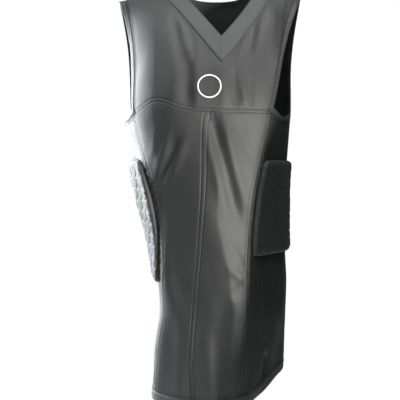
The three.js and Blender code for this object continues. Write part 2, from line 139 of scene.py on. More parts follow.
def crease(x, z, start, end, width, height):
    # a soft ridge (or valley, where height is negative) along a line, dying away at both ends
    run = np.array(end) - np.array(start)
    length = math.hypot(*run)
    along = ((x - start[0]) * run[0] + (z - start[1]) * run[1]) / length
    off = ((x - start[0]) * run[1] - (z - start[1]) * run[0]) / length
    fade = smooth(-0.25 * length, 0.25 * length, along) * smooth(1.25 * length, 0.75 * length, along)
    return height * fade * np.exp(-((off / width) ** 2))


# Folds in the hanging cloth, on the front: two points on the fold, its width and its height.
FOLDS = [
    # below the neckband, on the wearer's right and left
    ((-0.052, -0.082), (-0.040, -0.135), 0.00575, 0.00165),
    ((-0.036, -0.098), (-0.028, -0.150), 0.005175, -0.00165),
    ((-0.068, -0.070), (-0.052, -0.150), 0.00805, -0.0015),
    ((0.060, -0.100), (0.047, -0.150), 0.006325, -0.00225),
    ((0.076, -0.085), (0.060, -0.150), 0.0069, 0.00195),
    ((0.092, -0.060), (0.078, -0.125), 0.00805, -0.00225),
    ((0.112, -0.050), (0.104, -0.150), 0.01265, 0.00225),
    # down the chest, beside the emblem
    ((-0.041, -0.150), (-0.041, -0.226), 0.009775, -0.00375),
    ((-0.060, -0.120), (-0.066, -0.225), 0.01035, 0.0018),
    ((-0.024, -0.130), (-0.026, -0.222), 0.0069, 0.0015),
    ((0.014, -0.150), (0.022, -0.222), 0.01035, 0.00225),
    ((0.036, -0.170), (0.040, -0.226), 0.0069, -0.00225),
    ((0.052, -0.190), (0.056, -0.228), 0.005175, 0.0015),
    ((0.064, -0.185), (0.066, -0.228), 0.0046, -0.00135),
    # the long slanting fold from the chest to the left side seam
    ((0.002, -0.262), (0.043, -0.420), 0.01035, -0.0045),
    ((0.019, -0.250), (0.056, -0.400), 0.009775, 0.003375),
    ((-0.008, -0.270), (0.021, -0.400), 0.0092, 0.0021),
    ((0.045, -0.255), (0.070, -0.330), 0.00805, -0.00165),
    # rising from the top of the right pad
    ((-0.094, -0.345), (-0.070, -0.268), 0.0069, 0.0018),
    ((-0.083, -0.350), (-0.058, -0.290), 0.00575, -0.0018),
    ((-0.100, -0.320), (-0.092, -0.262), 0.0069, 0.00105),
    ((-0.072, -0.360), (-0.045, -0.285), 0.0092, 0.00165),
    # drawn in at the waist, where the two front seams come close
    ((0.030, -0.500), (0.062, -0.528), 0.0069, 0.002625),
    ((0.036, -0.545), (0.060, -0.515), 0.006325, -0.002625),
    ((0.040, -0.470), (0.054, -0.515), 0.00575, -0.001875),
    # long falls below the waist
    ((0.046, -0.540), (0.044, -0.690), 0.01265, 0.00315),
    ((0.018, -0.560), (0.006, -0.700), 0.01495, -0.002625),
    ((-0.006, -0.620), (0.004, -0.735), 0.01035, 0.00225),
    ((-0.052, -0.560), (-0.056, -0.735), 0.0115, 0.0015),
    ((-0.040, -0.660), (-0.036, -0.737), 0.00805, -0.001875),
    ((0.084, -0.640), (0.092, -0.730), 0.0115, 0.00225),
    ((0.104, -0.520), (0.112, -0.640), 0.01035, -0.001875),
    ((0.102, -0.655), (0.092, -0.690), 0.0069, -0.003375),
]
rng = np.random.default_rng(7)
RIPPLES = rng.uniform([20, 6, 0, 0.4], [75, 26, 2 * np.pi, 1.0], (14, 4))


def folds(angle, z, point):
    x = point[..., 0]
    angle = (angle + 180) % 360 - 180
    bend = np.abs(angle)
    right = angle < 0
    # the front is nearly flat between two soft corners, and each flank falls straight back
    corner = np.where(right, 36 + 22 * smooth(-0.42, -0.56, z), oval_at(LEFT, z) + 1)
    right_depth = 0.0085 - 0.005 * smooth(-0.45, -0.65, z)
    left_depth = 0.0075 + 0.006 * smooth(-0.25, -0.42, z)
    depth = np.where(right, right_depth, left_depth)
    t = np.clip((bend - corner) / (92 - corner), 0, 1)
    low = -depth * np.sin(np.pi * t ** np.where(right, 1.3, 0.85)) * smooth(-0.01, -0.07, z)
    # and it peaks a little along the centre front seam
    off_centre = angle - oval_at(CENTRE, z) - 8 - 22 * smooth(-0.38, -0.60, z)
    slack = np.where(off_centre < 0, 24, 14)
    low = low + 0.011 * np.exp(-np.abs(off_centre / slack) ** 1.35) * smooth(-0.25, -0.36, z)
    # below the waist the right half lies flat out to its edge
    low = low + 0.009 * np.exp(-(((angle + 68) / 20) ** 2)) * smooth(-0.42, -0.56, z)
    # in front of the right pad the front panel swells to the pad's height
    beside_pad = smooth(-0.27, -0.36, z) * smooth(-0.64, -0.52, z)
    low = low + 0.006 * np.exp(-(((angle + 50) / 11) ** 2)) * beside_pad
    front = smooth(100, 80, bend)
    for start, end, width, height in FOLDS:
        low = low + front * crease(x, z, start, end, width, height)
    # faint falls all round, stronger towards the hem and on the back
    turn = np.radians(angle)
    fall = sum(s * np.sin(turn * round(k / 6) + p + 3 * np.sin(q * z)) for k, q, p, s in RIPPLES)
    strength = 1 + smooth(-0.45, -0.7, z) + 2 * smooth(95, 125, bend)
    return low + 0.00022 * fall * strength * smooth(0, -0.05, z)


def on_body(angle, z, off=0.0):
    point, normal = body_point(angle, z), body_normal(angle, z)
    return point + normal * (folds(angle, z, point) + off)[..., None]


def make(name, points, faces, material, node=None):
    mesh = bpy.data.meshes.new(name)
    mesh.from_pydata(np.asarray(points).reshape(-1, 3).tolist(), [], [list(f) for f in faces])
    mesh.validate()
    mesh.polygons.foreach_set("use_smooth", [True] * len(mesh.polygons))
    made = bpy.data.objects.new(name, mesh)
    bpy.context.scene.collection.objects.link(made)
    made.data.materials.append(material)
    if node:
        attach(made, "care_label" if node == "care_label" else "vest")
        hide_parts(node)
    return made


def grid_faces(rows, columns, start=0, wrap=False, flip=False):
    i, j = np.meshgrid(np.arange(rows if wrap else rows - 1), np.arange(columns - 1), indexing="ij")
    a, b = i * columns + j, ((i + 1) % rows) * columns + j
    quads = np.stack([a, b, b + 1, a + 1] if not flip else [a, a + 1, b + 1, b], -1)
    return quads.reshape(-1, 4) + start


def cut_faces(rows, columns, turned=False):
    # an inner and an outer face of a cut of cloth, and the raw edge that joins them all round
    count = rows * columns
    faces = [*grid_faces(rows, columns, flip=not turned), *grid_faces(rows, columns, count, flip=turned)]
    loop = [i * columns for i in range(rows)] + [(rows - 1) * columns + j for j in range(1, columns)]
    loop += [i * columns + columns - 1 for i in range(rows - 2, -1, -1)] + list(range(columns - 2, 0, -1))
    for a, b in zip(loop, loop[1:] + loop[:1]):
        a, b = (b, a) if turned else (a, b)
        faces.append((a, b, b + count, a + count))
    return faces


def both_faces(inner, outer):
    # the points of both faces, the inner ones first
    return np.concatenate([inner.reshape(-1, 3), outer.reshape(-1, 3)])


def crowded(count, pull=0.8):
    # shares from 0 to 1, closer together near both ends
    t = np.linspace(0, 1, count + 1)
    return t - pull * np.sin(2 * np.pi * t) / (2 * np.pi)


def panel(node, at, across, along, lift):
    """A cut of knit. at gives angle and height from u and v; lift its inner face's distance."""
    u, v = np.meshgrid(crowded(across), crowded(along), indexing="ij")
    angle, z = at(u, v)
    low = lift(u, v, angle, z)
    inner, outer = on_body(angle, z, low), on_body(angle, z, low + LAYER)
    made = make(f"{node}_cloth", both_faces(inner, outer), cut_faces(*u.shape), KNIT_CLOTH, node)


# The knit itself: a fine charcoal jersey with a satin face, in rows of tiny loops.
def knit_group(name):
    group = bpy.data.node_groups.new(name, "ShaderNodeTree")
    for label, kind, direction in [
        ("Shade", "NodeSocketColor", "INPUT"), ("Faded", "NodeSocketColor", "INPUT"),
        ("Loops per metre", "NodeSocketFloat", "INPUT"), ("Roughness", "NodeSocketFloat", "INPUT"),
        ("Colour", "NodeSocketColor", "OUTPUT"), ("Surface", "NodeSocketFloat", "OUTPUT"),
        ("Height", "NodeSocketFloat", "OUTPUT"),
    ]:
        group.interface.new_socket(label, in_out=direction, socket_type=kind)
    nodes, link = group.nodes, group.links.new
    entry, leave = nodes.new("NodeGroupInput"), nodes.new("NodeGroupOutput")
    place = nodes.new("ShaderNodeTexCoord")
    waves = []
    for axis in ("X", "Z"):
        wave = nodes.new("ShaderNodeTexWave")
        wave.bands_direction = axis
        wave.inputs["Distortion"].default_value = 0.6
        link(place.outputs["Object"], wave.inputs["Vector"])
        link(entry.outputs["Loops per metre"], wave.inputs["Scale"])
        waves.append(wave)
    loops = nodes.new("ShaderNodeMath")
    loops.operation = "MULTIPLY"
    link(waves[0].outputs["Fac"], loops.inputs[0])
    link(waves[1].outputs["Fac"], loops.inputs[1])
    patch = nodes.new("ShaderNodeTexNoise")
    patch.inputs["Scale"].default_value = 14
    patch.inputs["Detail"].default_value = 6
    link(place.outputs["Object"], patch.inputs["Vector"])
    fuzz = nodes.new("ShaderNodeTexNoise")
    fuzz.inputs["Scale"].default_value = 900
    fuzz.inputs["Detail"].default_value = 3
    link(place.outputs["Object"], fuzz.inputs["Vector"])
    mix = nodes.new("ShaderNodeMix")
    mix.data_type = "RGBA"
    spread = nodes.new("ShaderNodeMapRange")
    spread.inputs["From Min"].default_value = 0.35
    spread.inputs["From Max"].default_value = 0.75
    link(patch.outputs["Fac"], spread.inputs["Value"])
    link(spread.outputs["Result"], mix.inputs["Factor"])
    link(entry.outputs["Shade"], mix.inputs["A"])
    link(entry.outputs["Faded"], mix.inputs["B"])
    link(mix.outputs["Result"], leave.inputs["Colour"])
    worn = nodes.new("ShaderNodeMath")
    worn.operation = "MULTIPLY_ADD"
    worn.inputs[1].default_value = 0.12
    link(patch.outputs["Fac"], worn.inputs[0])
    link(entry.outputs["Roughness"], worn.inputs[2])
    link(worn.outputs["Value"], leave.inputs["Surface"])
    rise = nodes.new("ShaderNodeMath")
    rise.operation = "MULTIPLY_ADD"
    rise.inputs[1].default_value = 0.5
    link(fuzz.outputs["Fac"], rise.inputs[0])
    link(loops.outputs["Value"], rise.inputs[2])
    link(rise.outputs["Value"], leave.inputs["Height"])
    return group


KNIT = knit_group("knit")


def fabric(name, shade, faded, loops, roughness, bump, specular=0.5, sheen=0.0):
    made = bpy.data.materials.new(name)
    made.use_nodes = True
    nodes, link = made.node_tree.nodes, made.node_tree.links.new
    shader = nodes["Principled BSDF"]
    weave = nodes.new("ShaderNodeGroup")
    weave.node_tree = KNIT
    weave.inputs["Shade"].default_value = (*shade, 1)
    weave.inputs["Faded"].default_value = (*faded, 1)
    weave.inputs["Loops per metre"].default_value = loops
    weave.inputs["Roughness"].default_value = roughness
    relief = nodes.new("ShaderNodeBump")
    relief.inputs["Strength"].default_value = bump
    relief.inputs["Distance"].default_value = 0.0003
    link(weave.outputs["Colour"], shader.inputs["Base Color"])
    link(weave.outputs["Surface"], shader.inputs["Roughness"])
    link(weave.outputs["Height"], relief.inputs["Height"])
    link(relief.outputs["Normal"], shader.inputs["Normal"])
    shader.inputs["Specular IOR Level"].default_value = specular
    shader.inputs["Sheen Weight"].default_value = sheen
    shader.inputs["Sheen Roughness"].default_value = 0.4
    return made


KNIT_CLOTH = fabric(
    "charcoal_knit", (0.011, 0.012, 0.012), (0.016, 0.018, 0.017),
    loops=1400, roughness=0.47, bump=0.30, specular=0.80, sheen=0.03,
)
NECKBAND = 0.028
BINDING = 0.009


def chest_seam_height(angle):
    return -CHEST_SEAM + 0.019 * np.exp(-(((angle + 33) / 16) ** 2))


def front_seam(side, z):
    return oval_at(RIGHT if side < 0 else LEFT, z)


def side_width(z):
    # a side panel is widest at the pads and narrows to the underarm
    return 0.156 - 0.064 * smooth(-UNDERARM - 0.064, -CHEST_SEAM, z)


def back_seam(side, z):
    return angle_along(front_seam(side, z), z, side * side_width(z))


def arm_corner(side, back):
    return float((back_seam if back else front_seam)(side, np.array([-CHEST_SEAM]))[0])


def neckline(side, back, k, w):
    # k runs from the middle to the shoulder seam, and w from the yoke (0) to the opening (1)
    end_x = NECK_X + side * (NECK_HALF + NECKBAND * (1 - w))
    end_z = shoulder_line(end_x)
    if back:
        drop = -BACK_NECK_DROP - NECKBAND * (1 - w)
        z = drop + (end_z - drop) * k**2.6
        return angle_at(NECK_X + (end_x - NECK_X) * k, z, True), z
    drop = -V_DEPTH - NECKBAND * math.hypot(NECK_HALF, V_DEPTH) / NECK_HALF * (1 - w)
    z = drop + (end_z - drop) * k - (0.007 if side > 0 else 0.0) * 4 * k * (1 - k)
    return angle_at(NECK_X + 0.007 * (1 - k) + (end_x - NECK_X) * k, z), z


def upper_edge(side, back, m):
    angle, z = neckline(side, back, np.minimum(m / 0.6, 1), 0 * m)
    out = np.clip((m - 0.6) / 0.4, 0, 1)
    start = NECK_X + side * (NECK_HALF + NECKBAND)
    x = start + (side * (SHOULDER_HALF - BINDING) - start) * out
    past = m > 0.6
    return np.where(past, angle_at(x, shoulder_line(x), back), angle), np.where(past, shoulder_line(x), z)


def upper_body(back, s, v):
    side_a = np.where(s < 0, -1, 1) * (-1 if back else 1)
    head_angle, head_z = 0 * s, 0 * s
    for side in (-1, 1):
        angle, z = upper_edge(side, back, np.abs(s))
        head_angle = np.where(side_a == side, angle, head_angle)
        head_z = np.where(side_a == side, z, head_z)
    first, last = arm_corner(1 if back else -1, back), arm_corner(-1 if back else 1, back)
    if back:
        last += 360
        head_angle = head_angle % 360
    foot = first + (last - first) * (s + 1) / 2
    rise = 1 - (1 - v) ** 1.5
    bow = rise + (1 - (1 - rise) ** ARMHOLE_BOW - rise) * s * s
    seam_z = chest_seam_height(foot)
    return foot + (head_angle - foot) * bow, seam_z + (head_z - seam_z) * rise


SEAM_ROW = 0.0033  # each row of stitches, from the joint of the two cuts


def drawn_in(distance, along):
    # stitching pulls the cloth down in a narrow groove, with small puckers beside it
    groove = -0.0005 * np.exp(-(((distance - SEAM_ROW) / 0.0011) ** 2))
    pucker = np.exp(-(((distance - 0.006) / 0.005) ** 2)) * (np.sin(along * 900) + np.sin(along * 1430 + 2))
    return groove + 0.00010 * pucker


def above_chest_seam(u, v, angle, z):
    return drawn_in(np.abs(z - chest_seam_height(angle)), angle / 500)


panel("front_yoke", lambda u, v: upper_body(False, 2 * u - 1, v), 150, 90, above_chest_seam)

# ================================================================ front and side panels
# Two front panels of the same knit meet at the centre front, and a wide panel runs round each
# side. All four hang from the yoke and the armholes down to the hem, joined by flatlock seams.

HEM_BAND = 0.016
HEM_RISE = 0.040


def hem_top(angle):
    # the gathers under the left pad draw the hem up on that side
    from_left = (angle + 90) % 360 - 180
    return -LENGTH + HEM_RISE * np.exp(-((from_left / 65) ** 2)) + HEM_BAND


def hem_meets(line):
    # the height at which a line down the body, its angle at each height, meets the hem band
    z = np.array(-LENGTH)
    for _ in range(4):
        z = hem_top(line(z))
    return z


def armhole_side(side, back, k, w):
    tip = side * (SHOULDER_HALF - BINDING * (1 - w))
    corner = arm_corner(side, back)
    foot = angle_along(np.array([corner]), np.array([-CHEST_SEAM]), (-side if back else side) * BINDING * w)
    angle = angle_at(tip, shoulder_line(tip), back)
    low = chest_seam_height(corner) + BINDING * w
    return angle + (foot - angle) * k**ARMHOLE_BOW, shoulder_line(tip) + (low - shoulder_line(tip)) * k


def armhole_bottom(side, k, w):
    one, two = armhole_side(side, False, 1.0, w), armhole_side(side, True, 1.0, w)
    dip = 0.015 * np.sin(np.pi * np.clip(k, 0, 1)) ** 0.8
    return one[0] + (two[0] - one[0]) * k, one[1] + (two[1] - one[1]) * k - dip


def lower_panel(start, end, top):
    def at(u, v):
        def line(z):
            return start(z) + (end(z) - start(z)) * u
        low = hem_meets(line)
        z = low + (top(u) - low) * v
        return line(z), z
    return at


def centre_seam(z):
    return oval_at(CENTRE, z)


def seamed(start, end):
    # grooves along both upright edges and below the chest seam
    def lift(u, v, angle, z):
        wide = np.linalg.norm(body_point(start(z), z) - body_point(end(z), z), axis=-1)
        near = np.minimum(u, 1 - u) * wide
        return drawn_in(near, z) + drawn_in(np.abs(z - chest_seam_height(angle)), angle / 500)
    return lift


def under_yoke(start, end):
    foot = np.array([-CHEST_SEAM])
    return lambda u: chest_seam_height(start(foot) + (end(foot) - start(foot)) * u)


fronts = {
    "right": (lambda z: front_seam(-1, z), centre_seam),
    "left": (centre_seam, lambda z: front_seam(1, z)),
}
for name, (start, end) in fronts.items():
    place = lower_panel(start, end, under_yoke(start, end))
    panel(f"front_panel_{name}", place, 80, 150, seamed(start, end))

side_edges = {
    "right": (
        lambda z: back_seam(-1, z), lambda z: front_seam(-1, z), lambda u: armhole_bottom(-1, 1 - u, 0)[1],
    ),
    "left": (
        lambda z: front_seam(1, z), lambda z: back_seam(1, z), lambda u: armhole_bottom(1, u, 0)[1],
    ),
}
PAD_TOP = -UNDERARM - 0.068
PAD_WIDE = 0.128
PAD_HIGH = {"right": 0.214, "left": 0.163}


def side_lift(side, start, end):
    seams = seamed(start, end)
    high = PAD_HIGH["left" if side > 0 else "right"]

    def lift(u, v, angle, z):
        # gathers fan out below the pad that is drawn up
        under = PAD_TOP - high - z
        round_body = (u if side > 0 else 1 - u) * side_width(z)
        gather = np.exp(-under / 0.045) * smooth(0, 0.006, under) * smooth(0.0, 0.02, round_body)
        size = 0.0017 if side > 0 else 0.0008
        wave = np.sin(round_body * 300 + 2.4 * np.sin(round_body * 75) + 9 * under)
        wave = wave * (0.65 + 0.35 * np.sin(round_body * 58 + 1))
        wave = wave + 0.4 * np.sin(round_body * 610 + z * 40 + 1.5 * np.sin(z * 30))
        # and the cloth beside the flat pad's front edge is pulled into slanting wrinkles
        beside = smooth(0.017, 0.008, round_body) * smooth(PAD_TOP + 0.01, PAD_TOP - 0.01, z)
        beside = beside * smooth(PAD_TOP - high - 0.01, PAD_TOP - high + 0.02, z) * (1 if side < 0 else 0.4)
        wrinkle = np.sin(z * 440 + round_body * 330 + 0.8 * np.sin(z * 70))
        return seams(u, v, angle, z) + size * gather * wave + 0.0009 * beside * wrinkle
    return lift


for name, (start, end, top) in side_edges.items():
    lift = side_lift(1 if name == "left" else -1, start, end)
    panel(f"side_panel_{name}", lower_panel(start, end, top), 110, 150, lift)

# ================================================================ back panel
# One long cut of the same knit from the hem to the shoulders. Nothing is sewn to its middle.


def back_at(u, v):
    share = 0.6  # of the rows, below the height of the chest seam
    up_angle, up_z = upper_body(True, 2 * u - 1, np.clip((v - share) / (1 - share), 0, 1))

    def line(z):
        first, last = back_seam(1, z), back_seam(-1, z) + 360
        return first + (last - first) * u

    low = hem_meets(line)
    z = low + (-CHEST_SEAM - low) * np.minimum(v / share, 1)
    above = v > share
    return np.where(above, up_angle, line(z)), np.where(above, up_z, z)


def back_lift(u, v, angle, z):
    return drawn_in(np.minimum(u, 1 - u) * 0.2, z) * smooth(-0.20, -0.25, z)


panel("back_panel", back_at, 120, 200, back_lift)

# ================================================================ neckband, bindings and hem
# Doubled strips of the same knit, turned and pressed flat: one round the neck with its two ends
# mitred at the point of the V, one round each armhole, and a turned hem along the bottom.

BAND_CLOTH = fabric(
    "charcoal_band", (0.026, 0.029, 0.029), (0.034, 0.037, 0.037),
    loops=1250, roughness=0.50, bump=0.35, specular=0.8, sheen=0.05,
)
TURNED = 0.0016  # a turned and pressed edge
NECK_FOLD = 0.0018  # the neckband, with a seam allowance inside


def ring_faces(rows, columns, turned=False):
    # as cut_faces, for a strip whose two ends meet
    count = rows * columns
    faces = [*grid_faces(rows, columns, 0, True, not turned), *grid_faces(rows, columns, count, True, turned)]
    for i in range(rows):
        for edge in (0, columns - 1):
            a, b = i * columns + edge, ((i + 1) % rows) * columns + edge
            a, b = (b, a) if turned != (edge > 0) else (a, b)
            faces.append((a, b, b + count, a + count))
    return faces


def band(node, at, around, across, thickness, raised=0.0003):
    """A doubled strip in a closed loop; at gives angle and height at k round it and w across it."""
    k, w = np.meshgrid(np.arange(around) / around, crowded(across, 0.7), indexing="ij")
    angle, z = at(k, w)
    edge = 1 - (2 * w - 1) ** 10
    top = raised + thickness * (0.35 + 0.65 * edge)
    top = top + 0.00010 * np.sin(k * around * 0.9) * np.sin(w * 9)
    inner, outer = on_body(angle, z, 0 * w + raised), on_body(angle, z, top)
    faces = ring_faces(*k.shape)
    made = make(f"{node}_cloth", both_faces(inner, outer), faces, BAND_CLOTH, node)


def neck_round(k, w):
    quarter = np.minimum(np.floor(k * 4), 3)
    share = k * 4 - quarter
    out = np.sin(np.where(quarter % 2 == 0, share, 1 - share) * np.pi / 2)
    angle, z = 0 * k, 0 * k
    for number, (side, back) in enumerate([(1, False), (1, True), (-1, True), (-1, False)]):
        a, height = neckline(side, back, out, w)
        angle, z = np.where(quarter == number, a, angle), np.where(quarter == number, height, z)
    return angle, z


def armhole_round(side, k, w):
    third = np.minimum(np.floor(k * 3), 2)
    share = k * 3 - third
    front = armhole_side(side, False, 1 - np.cos(share * np.pi / 2), w)
    back = armhole_side(side, True, 1 - np.cos((1 - share) * np.pi / 2), w)
    bottom = armhole_bottom(side, share, w)
    return tuple(np.where(third == 0, f, np.where(third == 1, m, b)) for f, m, b in zip(front, bottom, back))


def hem_round(k, w):
    return 360 * k, hem_top(360 * k) - HEM_BAND * w


SIDES = {"right": -1, "left": 1}
band("neckband", neck_round, 400, 16, NECK_FOLD, 0.0006)
for name, side in SIDES.items():
    def round_arm(k, w):
        return armhole_round(side, k, w)
    band(f"armhole_binding_{name}", round_arm, 330, 10, TURNED)
band("hem_band", hem_round, 400, 12, TURNED)

# ================================================================ rib pads
# Each pad is a sheet of hexagonal closed-cell foam blocks under its own cover of knit, sewn down
# all round. The cover is moulded over the cells, so every cell stands out as a soft hexagon.

PAD_FROM_SEAM = 0.011
PAD_MARGIN = 0.004  # from the cover's edge to the outermost cells
PAD_CORNER = 0.012
SEWN_EDGE = 0.0009
COVER_TALL = 0.0090
COVER_RELIEF = 0.0009
FOAM_TALL = 0.0078
FOAM_RELIEF = 0.0044
FOAM_INSET = 0.006
CELL_WIDE = (PAD_WIDE - 2 * PAD_MARGIN) / 5.5
PAD_ROWS = 10
COVER_CLOTH = fabric(
    "pad_cover_knit", (0.022, 0.024, 0.024), (0.030, 0.033, 0.033),
    loops=1400, roughness=0.54, bump=0.30, specular=0.7, sheen=0.05,
)
CELL_FOAM = fabric(
    "pad_foam", (0.020, 0.021, 0.023), (0.030, 0.031, 0.033),
    loops=420, roughness=0.80, bump=0.8, specular=0.3,
)


def pad_place(side, s, t):
    z = PAD_TOP - t
    return angle_along(front_seam(side, z), z, side * (PAD_FROM_SEAM + s)), z


def cell_height(s, t, high):
    # 1 on the top of a cell and 0 in the groove between two, for pointed-top hexagons
    pitch = (high - 2 * PAD_MARGIN) / (PAD_ROWS + 1 / 3)
    x, y = (s - PAD_MARGIN) / CELL_WIDE, (t - PAD_MARGIN) / pitch
    best, second, x_best, y_best = (np.full(s.shape, 9.0) for _ in range(4))
    row = np.floor(y - 1 / 6)
    for extra in (-1, 0, 1):
        r = row + extra
        shift = np.mod(r, 2) / 2
        for side in (0, 1):
            column = np.floor(x - 0.5 - shift) + side
            dx, dy = x - (column + 0.5 + shift), (y - (r + 2 / 3)) * 0.866
            gap = dx**2 + dy**2
            closer = gap < best
            second = np.where(closer, best, np.minimum(second, gap))
            x_best, y_best = np.where(closer, dx, x_best), np.where(closer, dy, y_best)
            best = np.where(closer, gap, best)
    border = (second - best) / 2
    return smooth(0.005, 0.15, border) * (1 - 0.25 * (x_best**2 + y_best**2))


def pad_rise(s, t, high):
    # how far the cover has climbed, from its sewn edge to the level of the cells
    half_w, half_h = PAD_WIDE / 2, high / 2
    qx, qy = np.abs(s - half_w) - half_w + PAD_CORNER, np.abs(t - half_h) - half_h + PAD_CORNER
    edge = PAD_CORNER - np.hypot(np.maximum(qx, 0), np.maximum(qy, 0)) - np.minimum(np.maximum(qx, qy), 0)
    return edge, np.sqrt(np.clip(1 - (1 - np.clip(edge / 0.0095, 0, 1)) ** 2, 0, 1))


def pad_grid(side, high, across, along, inset):
    u, v = np.meshgrid(crowded(across, 0.35), crowded(along, 0.35), indexing="ij")
    t = inset + (high - 2 * inset) * v
    rest = PAD_CORNER - np.minimum(np.minimum(t, high - t), PAD_CORNER)
    draw = PAD_CORNER - np.sqrt(np.maximum(0, PAD_CORNER**2 - rest**2)) + inset
    s = draw + (PAD_WIDE - 2 * draw) * (u if side > 0 else 1 - u)
    return s, t


def pad(name, side, high, node, material, low, tall, deep, inset, across, along):
    """One layer of a pad: its lower face lies low off the body, and its cells are deep in relief."""
    s, t = pad_grid(side, high, across, along, inset)
    edge, rise = pad_rise(s, t, high)
    cells = cell_height(s, t, high)
    angle, z = pad_place(side, s, t)
    top = low + SEWN_EDGE + rise * (tall - deep + deep * cells)
    # the edge is drawn in by its stitches, more where the pad is gathered
    pleat = np.exp(-edge / 0.006) * (np.sin((s + t) * 520) + 0.6 * np.sin((s - t) * 910 + 1))
    top = top + rise * 0.0004 * pleat
    inner, outer = on_body(angle, z, low + 0 * s), on_body(angle, z, top)
    return make(name, both_faces(inner, outer), cut_faces(*s.shape), material, node)


for name, side in SIDES.items():
    high = PAD_HIGH[name]
    cover = pad(
        f"rib_pad_{name}", side, high, f"rib_pad_cover_{name}", COVER_CLOTH,
        LAYER, COVER_TALL, COVER_RELIEF, 0.0, 150, 220,
    )
    cells = pad(
        f"rib_pad_{name}_cells", side, high, f"rib_pad_foam_{name}", CELL_FOAM,
        LAYER + 0.0004, FOAM_TALL, FOAM_RELIEF, FOAM_INSET, 100, 150,
    )

# ================================================================ seams and stitching
# Dark polyester thread. Each seam is two rows of stitches, one on each side of the joint, and
# the bands and pads are held by two closer rows. A seam's two rows lie in its groove.

THREAD = fabric(
    "dark_thread", (0.013, 0.012, 0.011), (0.020, 0.018, 0.017),
    loops=2600, roughness=0.55, bump=0.6, specular=0.4,
)
SUNK = LAYER - 0.0007  # a seam's stitches lie in its groove
ON_TOP = LAYER + 0.0001


def thread_rows(name, rows, node, pitch=0.0034, thick=0.00042):
    """Stitches along lines on the body. Each row gives angle, height and distance off."""
    points, faces = [], []
    for angle, z, off in rows:
        line, normal = on_body(angle, z, off), body_normal(angle, z)
        run = np.concatenate([[0], np.cumsum(np.linalg.norm(np.diff(line, axis=0), axis=-1))])
        count = max(2, int(run[-1] / pitch))
        for i in range(count):
            ends = (np.array([0.08, 0.3, 0.7, 0.92]) + i) * run[-1] / count
            core = np.stack([np.interp(ends, run, line[:, c]) for c in range(3)], -1)
            up = np.array([np.interp(ends[1], run, normal[:, c]) for c in range(3)])
            along = core[-1] - core[0]
            wide = np.cross(along, up)
            wide = wide / (np.linalg.norm(wide) + 1e-12) * thick
            tall = up * thick
            start = len(points)
            for c, size in zip(core, (0.35, 1.0, 1.0, 0.35)):
                middle = c + tall * (-0.7 if size < 1 else 0.2)
                points += [middle + wide * size, middle + tall * size]
                points += [middle - wide * size, middle - tall * size]
            for ring in range(3):
                a = start + ring * 4
                faces += [(a + j, a + 4 + j, a + 4 + (j + 1) % 4, a + (j + 1) % 4) for j in range(4)]
            faces += [tuple(range(start, start + 4)), tuple(range(start + 15, start + 11, -1))]
    return make(name, points, faces, THREAD, node)


def upright_seam(angle_of, top):
    z = np.linspace(hem_meets(angle_of) + 0.006, top, 260)
    return [(angle_along(angle_of(z), z, d), z, SUNK) for d in (-SEAM_ROW, SEAM_ROW)]


def round_pad(side, high, out):
    # a rounded rectangle just outside the cover's edge
    turn = np.linspace(0, 2 * np.pi, 800)
    s = np.sign(np.cos(turn)) * np.abs(np.cos(turn)) ** (2 / 7) * (PAD_WIDE / 2 + out)
    t = np.sign(np.sin(turn)) * np.abs(np.sin(turn)) ** (2 / 7) * (high / 2 + out)
    return *pad_place(side, PAD_WIDE / 2 + s, high / 2 + t), LAYER


sewn_to = -CHEST_SEAM - 0.003
thread_rows("centre_front_stitches", upright_seam(centre_seam, sewn_to), "centre_front_seam")
across = np.linspace(arm_corner(-1, False) + 1, arm_corner(1, False) - 1, 300)
chest_rows = [(across, chest_seam_height(across) + d, SUNK) for d in (-SEAM_ROW, SEAM_ROW)]
thread_rows("chest_seam_stitches", chest_rows, "chest_seam")
for name, side in SIDES.items():
    thread_rows(f"front_side_stitches_{name}",
                upright_seam(lambda z: front_seam(side, z), sewn_to - 0.004), f"front_side_seam_{name}")
    thread_rows(f"back_side_stitches_{name}",
                upright_seam(lambda z: back_seam(side, z), sewn_to - 0.006), f"back_side_seam_{name}")
    inner = NECK_X + side * (NECK_HALF + NECKBAND + 0.001)
    tip = side * (SHOULDER_HALF - BINDING - 0.001)
    x = np.linspace(inner, tip, 60)
    z = shoulder_line(x) - 0.0009
    rows = [(angle_at(x, z, back), z, LAYER) for back in (False, True)]
    thread_rows(f"shoulder_stitches_{name}", rows, f"shoulder_seam_{name}")
    k = np.linspace(0, 0.9999, 700)
    rows = [(*armhole_round(side, k, 0 * k + w), ON_TOP) for w in (-0.22, -0.55)]
    thread_rows(f"armhole_stitches_{name}", rows, f"armhole_stitching_{name}")
    rows = [round_pad(side, PAD_HIGH[name], out) for out in (0.0012, 0.0040)]
    thread_rows(f"pad_stitches_{name}", rows, f"pad_stitching_{name}")
k = np.linspace(0, 0.9999, 900)
rows = [(*neck_round(k, 0 * k + w), ON_TOP) for w in (-0.03, -0.17)]
thread_rows("neckband_stitches", rows, "neckband_stitching")
rows = [(360 * k, hem_top(360 * k) + d, ON_TOP) for d in (0.0012, 0.0042)]
thread_rows("hem_stitches", rows, "hem_stitching")
w = np.linspace(0.02, 0.98, 40)
angle, z = neckline(-1, False, 0 * w, w)
rows = [(angle_along(angle, z, d), z, NECK_FOLD + 0.0004) for d in (-0.0012, 0.0012)]
thread_rows("neckband_mitre_stitches", rows, "neckband_mitre")

# ================================================================ chest emblem
# A plain ring in white, a thin rubbery transfer pressed into the knit of the yoke.

